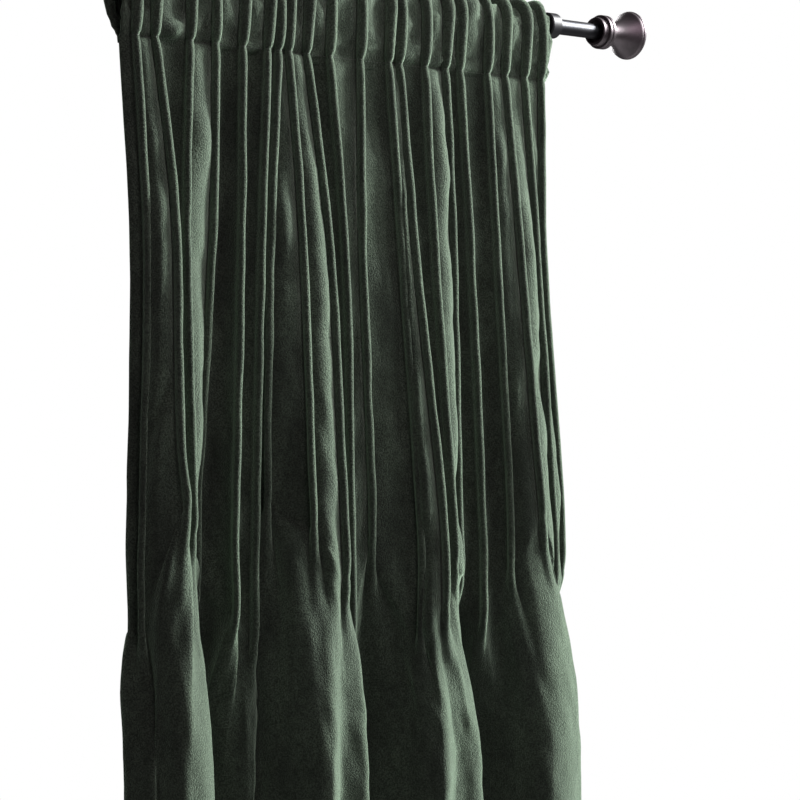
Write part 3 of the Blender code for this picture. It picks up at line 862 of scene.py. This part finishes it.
def stitch_tree():
    """Build the nodes that lay one small stitch at each step along lines.

    A ball one metre wide is scaled to the stitch's length and the thread's width.
    """
    tree = bpy.data.node_groups.new("stitch_rows", "GeometryNodeTree")
    sockets = tree.interface
    sockets.new_socket("Geometry", in_out="INPUT", socket_type="NodeSocketGeometry")
    for name in ("Pitch", "Stitch Length", "Thread Radius"):
        sockets.new_socket(name, in_out="INPUT", socket_type="NodeSocketFloat")
    sockets.new_socket("Thread", in_out="INPUT", socket_type="NodeSocketMaterial")
    sockets.new_socket("Geometry", in_out="OUTPUT", socket_type="NodeSocketGeometry")
    nodes = tree.nodes
    links = tree.links
    given = nodes.new("NodeGroupInput")
    lines = nodes.new("GeometryNodeMeshToCurve")
    steps = nodes.new("GeometryNodeResampleCurve")
    steps.mode = "LENGTH"
    bead = nodes.new("GeometryNodeMeshUVSphere")
    bead.inputs["Segments"].default_value = STITCH_SIDES
    bead.inputs["Rings"].default_value = STITCH_RINGS
    bead.inputs["Radius"].default_value = 0.5
    size = nodes.new("ShaderNodeCombineXYZ")
    wide = nodes.new("ShaderNodeMath")
    wide.operation = "MULTIPLY"
    wide.inputs[1].default_value = 2.0
    turn = nodes.new("FunctionNodeAlignRotationToVector")
    turn.axis = "Z"
    place = nodes.new("GeometryNodeInstanceOnPoints")
    real = nodes.new("GeometryNodeRealizeInstances")
    thread = nodes.new("GeometryNodeSetMaterial")
    result = nodes.new("NodeGroupOutput")
    links.new(given.outputs["Geometry"], lines.inputs["Mesh"])
    links.new(lines.outputs["Curve"], steps.inputs["Curve"])
    links.new(given.outputs["Pitch"], steps.inputs["Length"])
    links.new(steps.outputs["Curve"], place.inputs["Points"])
    links.new(bead.outputs["Mesh"], place.inputs["Instance"])
    links.new(nodes.new("GeometryNodeInputTangent").outputs["Tangent"], turn.inputs["Vector"])
    links.new(turn.outputs["Rotation"], place.inputs["Rotation"])
    links.new(given.outputs["Thread Radius"], wide.inputs[0])
    links.new(wide.outputs["Value"], size.inputs["X"])
    links.new(wide.outputs["Value"], size.inputs["Y"])
    links.new(given.outputs["Stitch Length"], size.inputs["Z"])
    links.new(size.outputs["Vector"], place.inputs["Scale"])
    links.new(place.outputs["Instances"], real.inputs["Geometry"])
    links.new(real.outputs["Geometry"], thread.inputs["Geometry"])
    links.new(given.outputs["Thread"], thread.inputs["Material"])
    links.new(thread.outputs["Geometry"], result.inputs["Geometry"])
    return tree


def stitched(name, lines, tree, thread):
    """Make one piece of stitches along lists of points."""
    mesh = bpy.data.meshes.new(name)
    edges = []
    count = 0
    for line in lines:
        edges += [(count + i, count + i + 1) for i in range(len(line) - 1)]
        count += len(line)
    mesh.from_pydata(np.concatenate(lines).tolist(), edges, [])
    holder = bpy.data.objects.new(name, mesh)
    bpy.context.scene.collection.objects.link(holder)
    rows = holder.modifiers.new("stitches", "NODES")
    rows.node_group = tree
    values = {
        "Pitch": STITCH_PITCH,
        "Stitch Length": STITCH_LENGTH,
        "Thread Radius": THREAD_RADIUS,
        "Thread": thread,
    }
    for socket in tree.interface.items_tree:
        if socket.in_out == "INPUT" and socket.name in values:
            rows[socket.identifier] = values[socket.name]
    graph = bpy.context.evaluated_depsgraph_get()
    beads = bpy.data.meshes.new_from_object(holder.evaluated_get(graph))
    bpy.data.objects.remove(holder, do_unlink=True)
    return add_piece(name, beads, thread)


def stitching(points, thread):
    """Sew the tucks on both sides, the pocket's seam and the hems."""
    out = grid_normals(points)
    lifted = points + out * (CLOTH_THICKNESS / 2)
    seam = POCKET_SEAM_ROW
    ends = seam + len(FINE_ROWS) + SEWN_ROWS
    first_tuck = len(EDGE_STEPS)
    step = len(TUCK_STEPS) + len(PLAIN_STEPS)
    tucks = []
    for number in range(len(TUCKS)):
        left = first_tuck + number * step
        right = left + len(TUCK_STEPS) - 1
        for foot, inner in ((left, left + 1), (right, right - 1)):
            line = mixed(lifted[seam : ends + 1, foot], lifted[seam : ends + 1, inner], STITCH_RISE)
            tucks.append(line)
    tree = stitch_tree()
    sewn = stitched("tuck_stitching", tucks, tree, thread)
    lines = [lifted[1], lifted[seam], lifted[1 - len(HEM_STEPS)]]
    lines += [lifted[seam:, first_tuck - 1], lifted[seam:, -first_tuck]]
    hems = stitched("seam_stitching", lines, tree, thread)
    return [sewn, hems]


def shader_material(name):
    """Return a new material, its nodes, its links and its Principled shader."""
    made = bpy.data.materials.new(name)
    made.use_nodes = True
    tree = made.node_tree
    return made, tree.nodes, tree.links, tree.nodes["Principled BSDF"]


def noise(nodes, links, source, scale, detail=2.0, stretch=(1.0, 1.0, 1.0)):
    """Return the value socket of a noise on coordinates, stretched by a mapping."""
    mapping = nodes.new("ShaderNodeMapping")
    mapping.inputs["Scale"].default_value = stretch
    links.new(source, mapping.inputs["Vector"])
    grain = nodes.new("ShaderNodeTexNoise")
    grain.inputs["Scale"].default_value = scale
    grain.inputs["Detail"].default_value = detail
    links.new(mapping.outputs["Vector"], grain.inputs["Vector"])
    return grain.outputs["Fac"]


def ramp(nodes, links, source, low, high, dark, light):
    """Return the colour socket of a ramp from dark at low to light at high."""
    made = nodes.new("ShaderNodeValToRGB")
    made.color_ramp.elements[0].position = low
    made.color_ramp.elements[1].position = high
    made.color_ramp.elements[0].color = (*dark, 1.0)
    made.color_ramp.elements[1].color = (*light, 1.0)
    links.new(source, made.inputs["Fac"])
    return made.outputs["Color"]


def multiplied(nodes, links, first, second, share):
    """Return the colour socket of one colour darkened by another, to a share of its full effect."""
    mix = nodes.new("ShaderNodeMix")
    mix.data_type = "RGBA"
    mix.blend_type = "MULTIPLY"
    mix.inputs["Factor"].default_value = share
    links.new(first, mix.inputs["A"])
    links.new(second, mix.inputs["B"])
    return mix.outputs["Result"]


def varied(nodes, links, source, low, high):
    """Return the socket of a value that runs from low to high with its source."""
    made = nodes.new("ShaderNodeMapRange")
    made.inputs["To Min"].default_value = low
    made.inputs["To Max"].default_value = high
    links.new(source, made.inputs["Value"])
    return made.outputs["Result"]


def bumped(nodes, links, source, height, strength, under=None):
    """Return the normal socket of a bump, over another one if given."""
    bump = nodes.new("ShaderNodeBump")
    bump.inputs["Distance"].default_value = height
    bump.inputs["Strength"].default_value = strength
    links.new(source, bump.inputs["Height"])
    if under:
        links.new(under, bump.inputs["Normal"])
    return bump.outputs["Normal"]


def velvet_material():
    """Make the dark green cut pile: brushed patches, fine grain and a soft sheen at the edges."""
    made, nodes, links, shader = shader_material("green_velvet")
    place = nodes.new("ShaderNodeTexCoord").outputs["Object"]
    patches = noise(nodes, links, place, scale=30.0, detail=4.0, stretch=(1.0, 1.0, 0.4))
    tufts = noise(nodes, links, place, scale=120.0, detail=3.0, stretch=(1.0, 1.0, 0.7))
    grain = noise(nodes, links, place, scale=720.0, detail=3.0)
    brushed = ramp(nodes, links, patches, low=0.34, high=0.7, dark=VELVET_DARK, light=VELVET_LIGHT)
    crushed = ramp(nodes, links, tufts, low=0.34, high=0.66, dark=CRUSHED_GREY, light=WHITE)
    speckle = ramp(nodes, links, grain, low=0.38, high=0.62, dark=GRAIN_GREY, light=WHITE)
    colour = multiplied(nodes, links, brushed, crushed, share=0.7)
    colour = multiplied(nodes, links, colour, speckle, share=1.0)
    links.new(colour, shader.inputs["Base Color"])
    soft = bumped(nodes, links, patches, height=4 * MM, strength=0.15)
    soft = bumped(nodes, links, tufts, height=1.0 * MM, strength=0.12, under=soft)
    pile = bumped(nodes, links, grain, height=1.3 * MM, strength=1.0, under=soft)
    links.new(pile, shader.inputs["Normal"])
    shader.inputs["Roughness"].default_value = 0.9
    shader.inputs["Specular IOR Level"].default_value = 0.12
    shader.inputs["Sheen Weight"].default_value = 0.75
    shader.inputs["Sheen Roughness"].default_value = 0.5
    shader.inputs["Sheen Tint"].default_value = (*VELVET_SHEEN, 1.0)
    return made


def thread_material():
    """Make the sewing thread: the velvet's green, a little lighter, with a soft shine."""
    made, nodes, links, shader = shader_material("green_thread")
    place = nodes.new("ShaderNodeTexCoord").outputs["Object"]
    fibres = noise(nodes, links, place, scale=900.0)
    colour = ramp(nodes, links, fibres, low=0.3, high=0.7, dark=THREAD_DARK, light=THREAD_LIGHT)
    links.new(colour, shader.inputs["Base Color"])
    twist = bumped(nodes, links, fibres, height=0.1 * MM, strength=0.4)
    links.new(twist, shader.inputs["Normal"])
    shader.inputs["Roughness"].default_value = 0.55
    shader.inputs["Sheen Weight"].default_value = 0.4
    return made


def steel_material():
    """Make the rod's dark steel, drawn lengthwise so that its light runs in lines."""
    made, nodes, links, shader = shader_material("drawn_steel")
    place = nodes.new("ShaderNodeTexCoord").outputs["Object"]
    drawn = noise(nodes, links, place, scale=500.0, detail=3.0, stretch=(0.02, 1.0, 1.0))
    worn = noise(nodes, links, place, scale=40.0, detail=3.0)
    colour = ramp(nodes, links, worn, low=0.3, high=0.75, dark=STEEL_DARK, light=STEEL_LIGHT)
    links.new(colour, shader.inputs["Base Color"])
    links.new(varied(nodes, links, drawn, low=0.4, high=0.5), shader.inputs["Roughness"])
    lines = bumped(nodes, links, drawn, height=0.05 * MM, strength=0.3)
    links.new(lines, shader.inputs["Normal"])
    shader.inputs["Metallic"].default_value = 1.0
    return made


def lacquer_material(name, dark, light, metallic):
    """Make a dark satin lacquer, faintly uneven and rubbed lighter in places."""
    made, nodes, links, shader = shader_material(name)
    place = nodes.new("ShaderNodeTexCoord").outputs["Object"]
    worn = noise(nodes, links, place, scale=60.0, detail=4.0)
    orange_peel = noise(nodes, links, place, scale=420.0)
    colour = ramp(nodes, links, worn, low=0.3, high=0.75, dark=dark, light=light)
    links.new(colour, shader.inputs["Base Color"])
    rough = varied(nodes, links, worn, low=SATIN_SMOOTH, high=SATIN_ROUGH)
    links.new(rough, shader.inputs["Roughness"])
    peel = bumped(nodes, links, orange_peel, height=0.06 * MM, strength=0.3)
    links.new(peel, shader.inputs["Normal"])
    shader.inputs["Metallic"].default_value = metallic
    return made


def camera():
    """Place the camera where the photograph was taken from."""
    lens = bpy.data.cameras.new("photo_camera")
    lens.lens = CAMERA_LENS
    lens.sensor_width = 36
    lens.clip_start = 0.05
    lens.clip_end = 50
    eye = bpy.data.objects.new("photo_camera", lens)
    bpy.context.scene.collection.objects.link(eye)
    looking = Vector((math.sin(CAMERA_TURN), math.cos(CAMERA_TURN), 0.0))
    aim = Vector((CAMERA_AIM_X, -ROD_REACH, -CAMERA_DROP))
    eye.location = aim - looking * CAMERA_DISTANCE
    eye.rotation_euler = (math.radians(90), 0.0, -CAMERA_TURN)
    bpy.context.scene.camera = eye


def soft_light(given):
    """Add one of the large soft lamps, which looks at its target."""
    lamp = bpy.data.lights.new(given.name, "AREA")
    lamp.shape = "RECTANGLE"
    lamp.size = given.width
    lamp.size_y = given.height
    lamp.energy = given.power
    lamp.color = given.colour
    holder = bpy.data.objects.new(given.name, lamp)
    bpy.context.scene.collection.objects.link(holder)
    holder.location = given.place
    looking = Vector(given.target) - Vector(given.place)
    holder.rotation_euler = looking.to_track_quat("-Z", "Y").to_euler()


def lights():
    """Light the curtain from the right like a window, with faint light all round it.

    The camera sees the world as white, but only a little of that light reaches the cloth.
    """
    for lamp in LAMPS:
        soft_light(lamp)
    world = bpy.data.worlds.new("white_studio")
    bpy.context.scene.world = world
    world.use_nodes = True
    nodes = world.node_tree.nodes
    links = world.node_tree.links
    seen = nodes["Background"]
    seen.inputs["Color"].default_value = (*WHITE, 1.0)
    seen.inputs["Strength"].default_value = 1.0
    dim = nodes.new("ShaderNodeBackground")
    dim.inputs["Color"].default_value = (*WARM, 1.0)
    dim.inputs["Strength"].default_value = AMBIENT
    pick = nodes.new("ShaderNodeMixShader")
    links.new(nodes.new("ShaderNodeLightPath").outputs["Is Camera Ray"], pick.inputs["Fac"])
    links.new(dim.outputs["Background"], pick.inputs[1])
    links.new(seen.outputs["Background"], pick.inputs[2])
    links.new(pick.outputs["Shader"], nodes["World Output"].inputs["Surface"])
    bpy.context.scene.view_settings.view_transform = "Standard"


def stage():
    """Add a plain pale floor below the hem."""
    mesh = bpy.data.meshes.new("floor")
    shape = bmesh.new()
    bmesh.ops.create_circle(shape, cap_ends=True, segments=FLOOR_SIDES, radius=FLOOR_RADIUS)
    bmesh.ops.translate(shape, verts=shape.verts, vec=(*FLOOR_MIDDLE, -FLOOR_DROP))
    shape.to_mesh(mesh)
    shape.free()
    made, nodes, links, shader = shader_material("pale_floor")
    place = nodes.new("ShaderNodeTexCoord").outputs["Object"]
    cloudy = noise(nodes, links, place, scale=3.0)
    colour = ramp(nodes, links, cloudy, low=0.3, high=0.7, dark=FLOOR_DARK, light=FLOOR_LIGHT)
    links.new(colour, shader.inputs["Base Color"])
    shader.inputs["Roughness"].default_value = 0.7
    mesh.materials.append(made)
    floor = bpy.data.objects.new("floor", mesh)
    bpy.context.scene.collection.objects.link(floor)


def main():
    """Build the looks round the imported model."""
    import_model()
    points, across, down = cloth_net()
    sewing = stitching(points, thread_material())
    curtain(points, across, down, velvet_material())
    rod(steel_material())
    finials(lacquer_material("plum_bronze", BRONZE_DARK, BRONZE_LIGHT, metallic=0.9))
    brackets(lacquer_material("black_lacquer", BLACK_DARK, BLACK_LIGHT, metallic=0.3))
    camera()
    lights()
    stage()


main()
